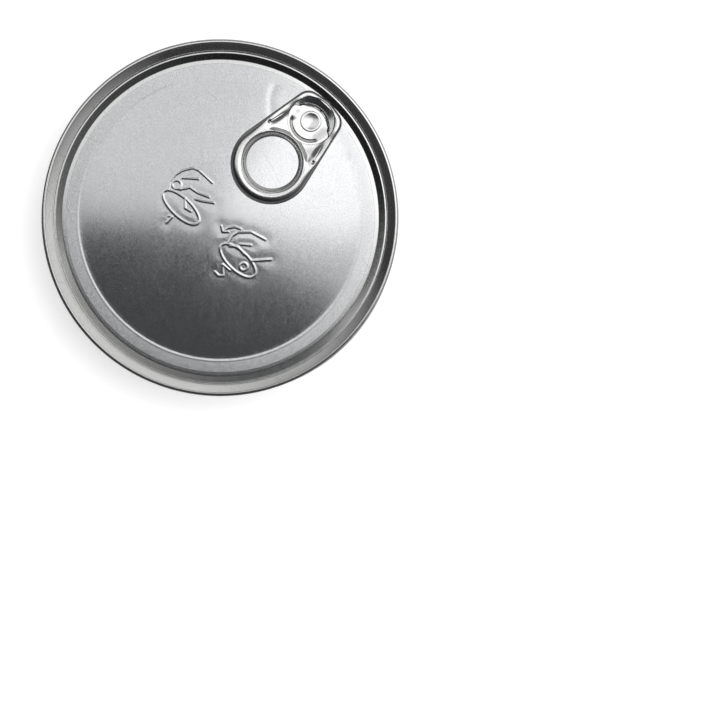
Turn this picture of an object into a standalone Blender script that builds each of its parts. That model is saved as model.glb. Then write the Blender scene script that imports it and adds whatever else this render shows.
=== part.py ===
"""A ring-pull nut can, closed, with its cashews inside.

Metres, +Z up. The origin is the middle of the rim that the can stands on. The pull tab
lies along X with its nose towards +X, so both hinges turn about lines along Y.
"""
import math
import random

import bmesh
import bpy
import numpy as np
from mathutils import Matrix, Vector

MM = 0.001

# The can and its two double seams.
CAN_HEIGHT = 86.0 * MM
SEAM_RADIUS = 38.2 * MM          # over the seams, the widest part
SEAM_HEIGHT = 3.0 * MM
BODY_SHEET = 0.20 * MM
END_SHEET = 0.22 * MM
LAYER_GAP = 0.12 * MM            # between the folded layers of a seam
HOOK_LENGTH = 1.5 * MM           # of the body hook and of the cover hook
CROWN_ROUND = 0.45 * MM
COMPOUND_HEIGHT = 0.30 * MM      # sealing compound under the crown of a seam

# The easy-open end.
CHUCK_LEAN = 0.9 * MM            # how far the chuck wall leans in on its way down
COUNTERSINK_DEPTH = 4.8 * MM
COUNTERSINK_ROUND = 0.45 * MM
LEDGE_DEPTH = 4.0 * MM           # middle of the sheet on both sides of the score
LEDGE_CHAMFER = 0.15 * MM        # where the countersink turns into the ledge
SCORE_INSET = 3.57 * MM          # from the chuck wall in to the score, where the lid tears
SCORE_GAP = 0.30 * MM            # clearance that stands for the torn score line
EDGE_FLAT = 0.8 * MM             # flat edge of the panel outside its bead
BEAD_WIDTH = 2.6 * MM            # groove that stiffens the edge of the panel
BEAD_DEPTH = 0.55 * MM
PANEL_CROWN = 0.50 * MM          # how far the middle of the panel stands up

# The plain end at the bottom.
BOTTOM_COUNTERSINK = 3.4 * MM
BOTTOM_PANEL_DEPTH = 2.6 * MM
BOTTOM_RING_INSET = 11.77 * MM   # from the chuck wall in to the stiffening ring
BOTTOM_RING_WIDTH = 1.6 * MM
BOTTOM_RING_HEIGHT = 0.45 * MM

# The pull tab, its tongue and the rivet. Places along the tab are counted back from the
# tip of its nose. A lobe is a circle: distance back, y, radius.
NOSE_OVERHANG = 0.9 * MM         # of the nose past the score
TAB_GAP = 0.15 * MM              # between the tab and the top of the panel
TAB_THICKNESS = 1.40 * MM
TAB_EDGE_ROUND = 0.45 * MM
RING_LOBE = (18.2 * MM, 0.0, 8.7 * MM)
SHOULDER_LOBE = (3.5 * MM, 2.85 * MM, 3.0 * MM)
NOSE_LOBE = (1.5 * MM, 0.0, 1.5 * MM)
FINGER_HOLE_BACK = 17.8 * MM
FINGER_HOLE_RADIUS = 5.6 * MM
NOSE_PIVOT_INSET = 0.7 * MM      # from the tip of the nose to the line it tips on
RIVET_BACK = 5.8 * MM
WINDOW_RADIUS = 5.0 * MM
TONGUE_RADIUS = 3.7 * MM
TONGUE_NECK_WIDTH = 4.6 * MM
TONGUE_SHEET = 0.30 * MM
TONGUE_GAP = 0.30 * MM           # from the neck of the tongue to the tab's window
RIVET_STEM_RADIUS = 1.50 * MM
RIVET_HEAD_RADIUS = 2.30 * MM
RIVET_HEAD_HEIGHT = 0.60 * MM
RIVET_FOOT_RADIUS = 2.50 * MM
RIVET_GAP = 0.10 * MM

# The cashews.
NUT_ARC_RADIUS = 7.1 * MM        # bend of the line through the middle of a nut
NUT_ARC_ANGLE = math.radians(158)
NUT_END_RADIUS = 3.1 * MM
NUT_BELLY_RADIUS = 4.9 * MM
NUT_CLEARANCE = 0.30 * MM
HEADSPACE = 5.2 * MM             # from the highest nut up to the lid
LAYOUT_TURN = math.radians(-47)  # the layouts below are drawn with the tab's nose at 47 degrees

SEGMENTS = 48                    # round every turned part of the can
RIVET_SEGMENTS = 24
NUT_BALLS = 9                    # balls that a nut is measured by when it is laid down
NUT_SIDES = 6
NUT_SECTIONS = 7

# The pile in the order it is laid: x and y in mm, way that the hollow faces, tilt.
UNDER_NUTS = (
    (1, 1, 20, 0), (17, 0, 110, 10), (-14, 6, 300, 12), (2, -18, 160, 10),
    (26, 15, 215, 0), (8, 27, 260, 10), (-13, 26, 290, 0), (-28, -6, 25, 0),
    (-16, -26, 60, 10), (20, -23, 130, 0), (10, 12, 200, 20), (-8, -10, 330, 15),
)
MIDDLE_NUTS = (
    (-10, -12, 10, 60), (19, 8, 70, 50), (-16, 7, 250, 40), (4, -21, 95, 75),
    (-31, 9, 0, 55), (31, -9, 170, 60), (-2, 31, 270, 50), (29, 13, 205, 60),
    (6, -31, 85, 60), (-22, 15, 300, 70), (-26, -17, 40, 60), (24, -12, 110, 65),
    (22, -25, 125, 60), (27, -17, 150, 75), (-13, -28, 60, 75), (-22, -23, 45, 60),
    (-14, -20, 350, 80), (18, -19, 185, 80), (-17, 24, 130, 60), (16, 23, 150, 78),
    (30, 4, 182, 60), (-14, 14, 45, 78), (0, 2, 300, 35), (14, -4, 60, 40),
)
TOP_NUTS = (
    (9, 28, 262, 35), (23, 15, 190, 20), (-4, 21, 45, 66), (9, 18, 66, 70),
    (-26, 4, 330, 12), (-21, -7, 45, 5), (-2, -25, 228, 10), (10, -21, 20, 8),
    (25, -7, 222, 10), (17, 3, 82, 5), (9, -5, 215, 8), (1, 9, 97, 5),
    (2, -13, 86, 4), (-10, -1, 270, 3),
)
# How far a nut may look for a lower spot, and how far it may turn.
UNDER_SPREAD = 10.0 * MM
UNDER_SWING = 60
MIDDLE_SPREAD = 9.0 * MM
MIDDLE_SWING = 40
TOP_SPREAD = 2.5 * MM
TOP_SWING = 12

SEAM_WALL = SEAM_RADIUS - END_SHEET / 2
BODY_HOOK = SEAM_WALL - END_SHEET / 2 - LAYER_GAP - BODY_SHEET / 2
COVER_HOOK = BODY_HOOK - BODY_SHEET / 2 - LAYER_GAP - END_SHEET / 2
BODY_WALL = COVER_HOOK - END_SHEET / 2 - LAYER_GAP - BODY_SHEET / 2
CHUCK_WALL = BODY_WALL - BODY_SHEET / 2 - LAYER_GAP - END_SHEET / 2
HOOK_DROP = END_SHEET + 2 * LAYER_GAP + COMPOUND_HEIGHT + BODY_SHEET / 2
SEAM_FOOT = SEAM_HEIGHT - END_SHEET / 2
BOTTOM_RING_RADIUS = CHUCK_WALL - BOTTOM_RING_INSET
SCORE_RADIUS = CHUCK_WALL - SCORE_INSET
PANEL_EDGE = SCORE_RADIUS - SCORE_GAP / 2
RING_EDGE = SCORE_RADIUS + SCORE_GAP / 2
BEAD_OUTER = PANEL_EDGE - EDGE_FLAT
PANEL_RADIUS = BEAD_OUTER - BEAD_WIDTH
LEDGE_Z = CAN_HEIGHT - LEDGE_DEPTH
TAB_Z = LEDGE_Z + PANEL_CROWN + END_SHEET / 2 + TAB_GAP
TAB_TOP_Z = TAB_Z + TAB_THICKNESS
TAB_NOSE_X = SCORE_RADIUS + NOSE_OVERHANG
FINGER_HOLE_X = TAB_NOSE_X - FINGER_HOLE_BACK
RIVET_X = TAB_NOSE_X - RIVET_BACK
NUT_TOP_Z = LEDGE_Z - BEAD_DEPTH - END_SHEET / 2 - HEADSPACE
NUT_WALL_RADIUS = BODY_WALL - BODY_SHEET / 2 - NUT_CLEARANCE


def clear_scene():
    for item in list(bpy.data.objects):
        bpy.data.objects.remove(item)


def finish(name, colour, roughness, metallic):
    """A plain Principled material."""
    material = bpy.data.materials.new(name)
    material.use_nodes = True
    shader = material.node_tree.nodes["Principled BSDF"]
    shader.inputs["Base Color"].default_value = (*colour, 1.0)
    shader.inputs["Roughness"].default_value = roughness
    shader.inputs["Metallic"].default_value = metallic
    return material


def add_object(name, bm, material, parent=None, smooth_angle=40):
    """Make an object of a bmesh, with its faces turned outwards, under its parent empty."""
    bmesh.ops.recalc_face_normals(bm, faces=bm.faces)
    mesh = bpy.data.meshes.new(name)
    bm.to_mesh(mesh)
    bm.free()
    mesh.materials.append(material)
    mesh.shade_smooth()
    mesh.set_sharp_from_angle(angle=math.radians(smooth_angle))
    item = bpy.data.objects.new(name, mesh)
    bpy.context.scene.collection.objects.link(item)
    if parent is not None:
        item.parent = parent
        item.matrix_parent_inverse = parent.matrix_world.inverted()
    return item


def add_axis(name, place, parent=None):
    """An empty that stands on a hinge line."""
    empty = bpy.data.objects.new(name, None)
    empty.location = place
    bpy.context.scene.collection.objects.link(empty)
    bpy.context.view_layer.update()
    if parent is not None:
        empty.parent = parent
        empty.matrix_parent_inverse = parent.matrix_world.inverted()
    bpy.context.view_layer.update()
    return empty


def sheet_outline(path, thickness):
    """Closed outline of a sheet around its middle line: every point of the path is moved
    half the thickness to both sides, along the mitre of the two edges that meet there."""
    points = [Vector(point) for point in path]
    left = []
    right = []
    for index, point in enumerate(points):
        before = points[max(index - 1, 0)]
        after = points[min(index + 1, len(points) - 1)]
        inward = (point - before).normalized() if index > 0 else (after - point).normalized()
        outward = (after - point).normalized() if index < len(points) - 1 else inward
        normal_in = Vector((-inward.y, inward.x))
        normal_out = Vector((-outward.y, outward.x))
        mitre = (normal_in + normal_out) / (1.0 + normal_in.dot(normal_out))
        left.append(point + mitre * thickness / 2)
        right.append(point - mitre * thickness / 2)
    return left + right[::-1]


def turned(name, outline, material, segments=SEGMENTS, centre=(0.0, 0.0), parent=None):
    """Spin a closed outline of (radius, height) points about a vertical line."""
    bm = bmesh.new()
    axis_place = Vector((centre[0], centre[1], 0.0))
    corners = [bm.verts.new(axis_place + Vector((point[0], 0.0, point[1]))) for point in outline]
    edges = []
    for index, corner in enumerate(corners):
        following = (index + 1) % len(corners)
        if outline[index][0] > 1e-9 or outline[following][0] > 1e-9:
            edges.append(bm.edges.new((corner, corners[following])))
    bmesh.ops.spin(bm, geom=corners + edges, cent=axis_place, axis=(0, 0, 1),
                   angle=2 * math.pi, steps=segments, use_merge=True)
    bmesh.ops.remove_doubles(bm, verts=bm.verts, dist=1e-7)
    bmesh.ops.dissolve_degenerate(bm, edges=bm.edges, dist=1e-8)
    return add_object(name, bm, material, parent)


def arc_points(centre, radius, start, stop, count):
    """Points along an arc in the plane of an outline, angles in degrees."""
    angles = [math.radians(start + (stop - start) * step / (count - 1)) for step in range(count)]
    return [(centre[0] + radius * math.cos(a), centre[1] + radius * math.sin(a)) for a in angles]


def seam_path():
    """Middle line of the end's sheet through a seam, with the crown at height 0 and depth
    counted downwards: cover hook, foot, seaming wall, flat crown and the chuck wall's top."""
    crown = -END_SHEET / 2
    return [
        (COVER_HOOK, -SEAM_FOOT + HOOK_LENGTH),
        (COVER_HOOK, -SEAM_FOOT),
        (SEAM_WALL, -SEAM_FOOT),
        (SEAM_WALL, crown - CROWN_ROUND),
        (SEAM_WALL - CROWN_ROUND, crown),
        (CHUCK_WALL + CROWN_ROUND, crown),
        (CHUCK_WALL, crown - CROWN_ROUND),
        (CHUCK_WALL - CHUCK_LEAN * 0.2, -SEAM_HEIGHT * 0.8),
    ]


def countersink_path(depth, inner_depth):
    """Middle line on from the chuck wall, round the bottom of the countersink and up to
    the panel's level, which is inner_depth below the crown."""
    foot_radius = CHUCK_WALL - CHUCK_LEAN - COUNTERSINK_ROUND
    turn = (foot_radius, -depth + COUNTERSINK_ROUND + END_SHEET / 2)
    return arc_points(turn, COUNTERSINK_ROUND, 0, -180, 4) + [
        (foot_radius - COUNTERSINK_ROUND * 1.3, -inner_depth - LEDGE_CHAMFER),
        (foot_radius - COUNTERSINK_ROUND * 2.0, -inner_depth),
    ]


def raised(path, height):
    return [(point[0], height + point[1]) for point in path]


def make_body(steel):
    """The rolled and welded wall, with a hook folded outwards at each end."""
    top = CAN_HEIGHT - HOOK_DROP
    bottom = HOOK_DROP
    path = [
        (BODY_HOOK, top - HOOK_LENGTH),
        (BODY_HOOK, top),
        (BODY_WALL, top),
        (BODY_WALL, bottom),
        (BODY_HOOK, bottom),
        (BODY_HOOK, bottom + HOOK_LENGTH),
    ]
    turned("can_body", sheet_outline(path, BODY_SHEET), steel)


def make_top_ring(steel):
    """What stays on the can when the lid is torn out: seam, chuck wall and ledge."""
    path = seam_path() + countersink_path(COUNTERSINK_DEPTH, LEDGE_DEPTH)
    path.append((RING_EDGE, -LEDGE_DEPTH))
    turned("top_end_ring", sheet_outline(raised(path, CAN_HEIGHT), END_SHEET), steel)


def make_bottom_end(steel):
    """The plain end: the same seam turned over, and a panel with a stiffening ring."""
    path = seam_path() + countersink_path(BOTTOM_COUNTERSINK, BOTTOM_PANEL_DEPTH)
    path += [
        (BOTTOM_RING_RADIUS + BOTTOM_RING_WIDTH / 2, -BOTTOM_PANEL_DEPTH),
        (BOTTOM_RING_RADIUS, -BOTTOM_PANEL_DEPTH - BOTTOM_RING_HEIGHT),
        (BOTTOM_RING_RADIUS - BOTTOM_RING_WIDTH / 2, -BOTTOM_PANEL_DEPTH),
        (0.0, -BOTTOM_PANEL_DEPTH),
    ]
    flipped = [(point[0], -point[1]) for point in path]
    turned("bottom_end", sheet_outline(flipped, END_SHEET), steel)


def make_compounds(rubber):
    """The sealing compound that fills each seam between the crown and the body's fold."""
    inner = CHUCK_WALL + CROWN_ROUND
    outer = SEAM_WALL - CROWN_ROUND
    near = END_SHEET + LAYER_GAP
    far = near + COMPOUND_HEIGHT
    levels = {
        "top_seam_compound": (CAN_HEIGHT - near, CAN_HEIGHT - far),
        "bottom_seam_compound": (near, far),
    }
    for name, (first, second) in levels.items():
        turned(name, [(outer, first), (outer, second), (inner, second), (inner, first)], rubber)


def panel_height(radius):
    """Height of the middle of the panel's sheet: a shallow crown on a flat edge."""
    return LEDGE_Z + PANEL_CROWN * (1.0 - (radius / PANEL_RADIUS) ** 2)


def make_panel(steel, lid_axis):
    """The lid that tears out: flat edge, stiffening bead and crowned middle."""
    path = [
        (PANEL_EDGE, LEDGE_Z),
        (BEAD_OUTER, LEDGE_Z),
        (BEAD_OUTER - BEAD_WIDTH * 0.3, LEDGE_Z - BEAD_DEPTH),
        (BEAD_OUTER - BEAD_WIDTH * 0.6, LEDGE_Z - BEAD_DEPTH),
    ]
    path += [(r * PANEL_RADIUS, panel_height(r * PANEL_RADIUS)) for r in (1.0, 0.75, 0.5, 0.25, 0.0)]
    turned("tear_panel", sheet_outline(path, END_SHEET), steel, parent=lid_axis)


def lobe_outline(lobes, steps):
    """Outline of the tightest band round some circles: for each direction all the way
    round, the point of the circle that reaches furthest that way."""
    points = []
    for step in range(steps):
        turn = 2 * math.pi * step / steps
        way = Vector((math.cos(turn), math.sin(turn)))
        reach = [Vector(lobe[:2]).dot(way) + lobe[2] for lobe in lobes]
        furthest = lobes[reach.index(max(reach))]
        points.append(Vector(furthest[:2]) + way * furthest[2])
    return points


def prism(outline, low, high):
    """A bmesh that stands an outline up between two heights."""
    bm = bmesh.new()
    base = bm.faces.new([bm.verts.new((point[0], point[1], low)) for point in outline])
    lifted = bmesh.ops.extrude_face_region(bm, geom=[base])
    risen = [part for part in lifted["geom"] if isinstance(part, bmesh.types.BMVert)]
    bmesh.ops.translate(bm, verts=risen, vec=(0, 0, high - low))
    return bm


def cut(item, name, outline):
    """Cut a straight hole of the given outline through a piece."""
    margin = TAB_THICKNESS
    cutter = add_object(name, prism(outline, TAB_Z - margin, TAB_TOP_Z + margin),
                        item.data.materials[0], item.parent)
    cutter.hide_render = True
    cutter.display_type = "WIRE"
    hole = item.modifiers.new(name, "BOOLEAN")
    hole.operation = "DIFFERENCE"
    hole.solver = "EXACT"
    hole.object = cutter


def circle_outline(x, radius, steps):
    return lobe_outline([(x, 0.0, radius)], steps)


def make_tab(metal, tab_axis):
    """The pull tab: one rounded plate with a finger hole and a window for the rivet."""
    mirrored = (SHOULDER_LOBE[0], -SHOULDER_LOBE[1], SHOULDER_LOBE[2])
    lobes = [RING_LOBE, SHOULDER_LOBE, mirrored, NOSE_LOBE]
    outline = lobe_outline([(TAB_NOSE_X - back, y, radius) for back, y, radius in lobes], 60)
    tab = add_object("pull_tab", prism(outline, TAB_Z, TAB_TOP_Z), metal, tab_axis)
    rounding = tab.modifiers.new("rolled edge", "BEVEL")
    rounding.width = TAB_EDGE_ROUND
    rounding.segments = 2
    rounding.limit_method = "ANGLE"
    rounding.angle_limit = math.radians(60)
    cut(tab, "finger_hole_cutter", circle_outline(FINGER_HOLE_X, FINGER_HOLE_RADIUS, 32))
    cut(tab, "window_cutter", circle_outline(RIVET_X, WINDOW_RADIUS, 32))


def make_tongue(metal, lid_axis):
    """The tongue that the rivet holds: a washer whose rim runs out into a straight neck."""
    low = TAB_Z + RIVET_GAP
    reach = WINDOW_RADIUS - TONGUE_GAP
    hole = RIVET_STEM_RADIUS + RIVET_GAP
    steps = 40
    bm = bmesh.new()
    loops = []
    for step in range(steps):
        turn = 2 * math.pi * step / steps
        way = Vector((math.cos(turn), math.sin(turn)))
        radius = TONGUE_RADIUS
        if way.x < 0 and abs(way.y) * reach < -way.x * TONGUE_NECK_WIDTH / 2:
            radius = max(radius, min(reach / -way.x, reach))
        rim = (RIVET_X + way.x * radius, way.y * radius)
        bore = (RIVET_X + way.x * hole, way.y * hole)
        corners = [(*rim, low), (*rim, low + TONGUE_SHEET), (*bore, low + TONGUE_SHEET), (*bore, low)]
        loops.append([bm.verts.new(corner) for corner in corners])
    for step in range(steps):
        here = loops[step]
        there = loops[(step + 1) % steps]
        for side in range(4):
            bm.faces.new((here[side], there[side], there[(side + 1) % 4], here[(side + 1) % 4]))
    add_object("rivet_tongue", bm, metal, lid_axis)


def make_rivet(metal, lid_axis):
    """The button drawn up from the panel: foot, stem and the head that holds the tongue."""
    foot = panel_height(RIVET_X - RIVET_FOOT_RADIUS) + END_SHEET / 2 + RIVET_GAP
    tongue_low = TAB_Z + RIVET_GAP
    tongue_high = tongue_low + TONGUE_SHEET
    head = tongue_high + RIVET_GAP
    outline = [
        (0.0, foot),
        (RIVET_FOOT_RADIUS, foot),
        (RIVET_STEM_RADIUS, tongue_low - RIVET_GAP / 2),
        (RIVET_STEM_RADIUS, head),
        (RIVET_HEAD_RADIUS, head),
        (RIVET_HEAD_RADIUS * 0.92, head + RIVET_HEAD_HEIGHT * 0.6),
        (RIVET_HEAD_RADIUS * 0.6, head + RIVET_HEAD_HEIGHT),
        (0.0, head + RIVET_HEAD_HEIGHT),
    ]
    turned("rivet", outline, metal, RIVET_SEGMENTS, (RIVET_X, 0.0), lid_axis)


def nut_radius(share):
    """Radius of a nut along its length: a full belly nearer one end, and two round ends."""
    belly = math.sin(math.pi * share ** 0.85) ** 0.6
    return NUT_END_RADIUS + (NUT_BELLY_RADIUS - NUT_END_RADIUS) * belly


def nut_line(share):
    """A point on the line through the middle of a flat nut whose hollow faces +X."""
    turn = math.pi + (share - 0.5) * NUT_ARC_ANGLE
    return Vector((NUT_ARC_RADIUS * (math.cos(turn) + 0.65), NUT_ARC_RADIUS * math.sin(turn), 0.0))


def nut_turn(facing, tilt):
    """Lean a nut about the line that joins its ends, then turn its hollow the right way."""
    lean = Matrix.Rotation(math.radians(tilt), 3, "Y")
    return Matrix.Rotation(math.radians(facing) + LAYOUT_TURN, 3, "Z") @ lean


def nut_balls(turn, size):
    """A nut as a chain of balls round its own origin: places and radii."""
    shares = [step / (NUT_BALLS - 1) for step in range(NUT_BALLS)]
    places = np.array([turn @ nut_line(share) * size for share in shares])
    return places, np.array([nut_radius(share) * size for share in shares])


def inside_wall(spot, places, radii):
    """Move a nut's spot straight in until every ball clears the can's wall."""
    for _ in range(4):
        flat = spot + places[:, :2]
        reach = np.linalg.norm(flat, axis=1) + radii
        worst = int(np.argmax(reach))
        excess = reach[worst] - NUT_WALL_RADIUS
        if excess > 0:
            spot = spot - flat[worst] / np.linalg.norm(flat[worst]) * excess
    return spot


def resting_height(spot, places, radii, pile, pile_radii):
    """Height of a nut's origin when it has dropped on the bed (height 0) or on the pile."""
    height = float(np.max(radii - places[:, 2]))
    if len(pile):
        span = radii[:, None] + pile_radii[None, :] + NUT_CLEARANCE
        flat = (spot + places[:, :2])[:, None, :] - pile[None, :, :2]
        rise = span ** 2 - np.sum(flat ** 2, axis=2)
        contact = pile[None, :, 2] - places[:, 2][:, None] + np.sqrt(np.maximum(rise, 0.0))
        if np.any(rise > 0):
            height = max(height, float(np.max(contact[rise > 0])))
    return height


def nearby_spots(spot, spread):
    """The spot itself and two rings of spots round it."""
    spots = [spot]
    for ring, count in ((0.5, 6), (1.0, 10)):
        for step in range(count):
            turn = 2 * math.pi * step / count
            way = np.array([math.cos(turn), math.sin(turn)])
            spots.append(spot + way * ring * spread)
    return spots


def laid_nuts():
    """Lay the nuts one after another. Each tries its chosen spot and some spots round it,
    turned a little both ways, and stays where its highest ball comes to rest lowest."""
    sizes = random.Random(7)
    pile = np.zeros((0, 3))
    pile_radii = np.zeros(0)
    place_turn = np.array(Matrix.Rotation(LAYOUT_TURN, 2))
    nuts = []
    layers = ((UNDER_NUTS, UNDER_SPREAD, UNDER_SWING), (MIDDLE_NUTS, MIDDLE_SPREAD, MIDDLE_SWING),
              (TOP_NUTS, TOP_SPREAD, TOP_SWING))
    for layer, spread, swing in layers:
        for x, y, facing, tilt in layer:
            size = sizes.uniform(0.92, 1.06)
            chosen = place_turn @ np.array((x * MM, y * MM))
            best = None
            for extra in (0.0, swing, -swing):
                turn = nut_turn(facing + extra, tilt)
                places, radii = nut_balls(turn, size)
                for near in nearby_spots(chosen, spread):
                    spot = inside_wall(near, places, radii)
                    height = resting_height(spot, places, radii, pile, pile_radii)
                    top = height + float(np.max(places[:, 2] + radii))
                    if best is None or top < best[0] - 1e-6:
                        best = (top, spot, height, turn, places, radii)
            _, spot, height, turn, places, radii = best
            centre = np.array((spot[0], spot[1], height))
            pile = np.vstack((pile, places + centre))
            pile_radii = np.concatenate((pile_radii, radii))
            nuts.append((Vector(centre), turn, size))
    return nuts, NUT_TOP_Z - float(np.max(pile[:, 2] + pile_radii))


def nut_mesh(centre, turn, size):
    """A tube with the nut's radius swept along the nut's line and closed by two tips."""
    bm = bmesh.new()
    rings = []
    for section in range(NUT_SECTIONS):
        share = section / (NUT_SECTIONS - 1)
        angle = math.pi + (share - 0.5) * NUT_ARC_ANGLE
        outwards = Vector((math.cos(angle), math.sin(angle), 0.0))
        radius = nut_radius(share) * 0.96
        ring = []
        for side in range(NUT_SIDES):
            around = 2 * math.pi * side / NUT_SIDES
            offset = outwards * math.cos(around) * radius + Vector((0, 0, math.sin(around) * radius))
            ring.append(bm.verts.new(centre + turn @ (nut_line(share) + offset) * size))
        rings.append(ring)
    for first, second in zip(rings, rings[1:]):
        for side in range(NUT_SIDES):
            after = (side + 1) % NUT_SIDES
            bm.faces.new((first[side], first[after], second[after], second[side]))
    for ring, share, sign in ((rings[0], 0.0, -1), (rings[-1], 1.0, 1)):
        angle = math.pi + (share - 0.5) * NUT_ARC_ANGLE
        along = Vector((-math.sin(angle), math.cos(angle), 0.0)) * sign
        tip_offset = along * nut_radius(share) * 0.85
        tip = bm.verts.new(centre + turn @ (nut_line(share) + tip_offset) * size)
        for side in range(NUT_SIDES):
            bm.faces.new((ring[side], ring[(side + 1) % NUT_SIDES], tip))
    return bm


def make_nuts(nut):
    """The nuts that can be told apart, and one block for the full layers under them."""
    laid, bed = laid_nuts()
    for number, (centre, turn, size) in enumerate(laid, start=1):
        lifted = centre + Vector((0, 0, bed))
        add_object(f"cashew_{number:02d}", nut_mesh(lifted, turn, size), nut, smooth_angle=180)
    floor = BOTTOM_COUNTERSINK + END_SHEET + NUT_CLEARANCE
    ceiling = bed - NUT_CLEARANCE
    edge = NUT_WALL_RADIUS - NUT_CLEARANCE
    block = [(0.0, ceiling), (edge, ceiling), (edge, floor), (0.0, floor)]
    turned("lower_cashews", block, nut)


def main():
    clear_scene()
    tinplate = finish("tinplate", (0.72, 0.72, 0.71), 0.28, 1.0)
    lid_steel = finish("lid_steel", (0.66, 0.67, 0.67), 0.32, 1.0)
    tab_steel = finish("tab_steel", (0.80, 0.80, 0.79), 0.22, 1.0)
    compound = finish("seam_compound", (0.55, 0.56, 0.52), 0.8, 0.0)
    cashew = finish("cashew", (0.82, 0.62, 0.32), 0.55, 0.0)
    make_body(tinplate)
    make_top_ring(tinplate)
    make_bottom_end(tinplate)
    make_compounds(compound)
    lid_axis = add_axis("lid_peel_axis", (-SEAM_RADIUS, 0.0, CAN_HEIGHT))
    pivot = (TAB_NOSE_X - NOSE_PIVOT_INSET, 0.0, TAB_Z + TAB_THICKNESS / 2)
    tab_axis = add_axis("tab_lift_axis", pivot, lid_axis)
    make_panel(lid_steel, lid_axis)
    make_rivet(tab_steel, lid_axis)
    make_tongue(tab_steel, lid_axis)
    make_tab(tab_steel, tab_axis)
    make_nuts(cashew)


main()
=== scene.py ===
"""A ring-pull nut can seen from straight above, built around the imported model.

Metres, +Z up. The tab lies along X with its nose towards +X. Every shape is a surface of two
parameters, worked out as whole numpy arrays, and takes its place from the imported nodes.
"""
import math

import bpy
import numpy as np
from mathutils import Matrix, Vector


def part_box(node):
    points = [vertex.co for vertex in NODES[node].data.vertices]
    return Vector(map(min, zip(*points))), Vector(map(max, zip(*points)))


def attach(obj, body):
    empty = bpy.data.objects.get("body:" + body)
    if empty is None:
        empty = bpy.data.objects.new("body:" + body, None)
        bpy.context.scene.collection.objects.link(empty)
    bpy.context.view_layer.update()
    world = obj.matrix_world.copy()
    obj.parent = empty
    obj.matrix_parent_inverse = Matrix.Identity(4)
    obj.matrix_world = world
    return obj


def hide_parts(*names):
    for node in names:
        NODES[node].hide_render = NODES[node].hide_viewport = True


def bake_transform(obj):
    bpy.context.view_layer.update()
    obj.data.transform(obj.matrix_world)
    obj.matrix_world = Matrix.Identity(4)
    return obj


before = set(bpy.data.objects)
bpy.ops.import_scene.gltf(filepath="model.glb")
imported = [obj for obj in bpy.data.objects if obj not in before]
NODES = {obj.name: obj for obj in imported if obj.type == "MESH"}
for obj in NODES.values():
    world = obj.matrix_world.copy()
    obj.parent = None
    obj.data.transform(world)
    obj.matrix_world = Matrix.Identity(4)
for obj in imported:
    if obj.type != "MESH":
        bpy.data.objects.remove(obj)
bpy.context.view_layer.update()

MM = 0.001

RIM_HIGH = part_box("top_end_ring")[1]
CAN_TOP = RIM_HIGH.z
SEAM_RADIUS = RIM_HIGH.x
PANEL_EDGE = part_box("tear_panel")[1].x
TAB_LOW, TAB_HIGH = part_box("pull_tab")
RIVET_LOW, RIVET_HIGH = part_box("rivet")
TONGUE_LOW, TONGUE_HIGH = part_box("rivet_tongue")
RIVET_X = (RIVET_LOW.x + RIVET_HIGH.x) / 2

# Sheets and the layers of a double seam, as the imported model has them.
END_SHEET = 0.22 * MM
BODY_SHEET = 0.20 * MM
LAYER_GAP = 0.12 * MM
SEAM_HEIGHT = 3.0 * MM
HOOK_LENGTH = 1.5 * MM
COMPOUND_HEIGHT = 0.30 * MM
SEAM_WALL = SEAM_RADIUS - END_SHEET / 2
BODY_HOOK = SEAM_WALL - END_SHEET / 2 - LAYER_GAP - BODY_SHEET / 2
COVER_HOOK = BODY_HOOK - BODY_SHEET / 2 - LAYER_GAP - END_SHEET / 2
BODY_WALL = COVER_HOOK - END_SHEET / 2 - LAYER_GAP - BODY_SHEET / 2
CHUCK_WALL = BODY_WALL - BODY_SHEET / 2 - LAYER_GAP - END_SHEET / 2
HOOK_DROP = END_SHEET + 2 * LAYER_GAP + COMPOUND_HEIGHT + BODY_SHEET / 2
LEDGE_Z = CAN_TOP - 4.0 * MM
RING_EDGE = PANEL_EDGE + 0.04 * MM

# Directions in the top view: the tab's nose points up and to the right.
NOSE_ANGLE = math.radians(46.8)
VIEW_RIGHT = Vector((math.cos(NOSE_ANGLE), -math.sin(NOSE_ANGLE), 0.0))
VIEW_UP = Vector((math.sin(NOSE_ANGLE), math.cos(NOSE_ANGLE), 0.0))


# ---------------------------------------------------------------- meshes

def make_mesh(name, places, quads, tris=None, body=None, material=None, sharp=35):
    """An object at the origin from arrays of places (n, 3), quads (m, 4) and triangles (k, 3)."""
    mesh = bpy.data.meshes.new(name)
    faces = quads.tolist() + ([] if tris is None else tris.tolist())
    mesh.from_pydata(places.astype(float).tolist(), [], faces)
    mesh.validate()
    mesh.update()
    item = bpy.data.objects.new(name, mesh)
    bpy.context.scene.collection.objects.link(item)
    if material is not None:
        mesh.materials.append(material)
    mesh.shade_smooth()
    mesh.set_sharp_from_angle(angle=math.radians(sharp))
    if body is not None:
        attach(item, body)
    return item


def ring_quads(rows, columns, closed_rows=False):
    """Faces of a grid whose rows are closed loops: vertex number is row * columns + column.
    Each face joins a row to the next one, and the last column to the first."""
    last = rows if closed_rows else rows - 1
    row, column = np.meshgrid(np.arange(last), np.arange(columns), indexing="ij")
    after = (column + 1) % columns
    below = (row + 1) % rows
    quads = np.stack([row * columns + column, row * columns + after,
                      below * columns + after, below * columns + column], axis=-1)
    return quads.reshape(-1, 4)


def cap_fan(start, columns, tip, flip=False):
    """Triangles from a loop of vertices that begins at start to one tip vertex."""
    column = np.arange(columns)
    after = (column + 1) % columns
    first, second = (after, column) if flip else (column, after)
    return np.stack([start + first, start + second, np.full(columns, tip)], axis=-1)


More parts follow.
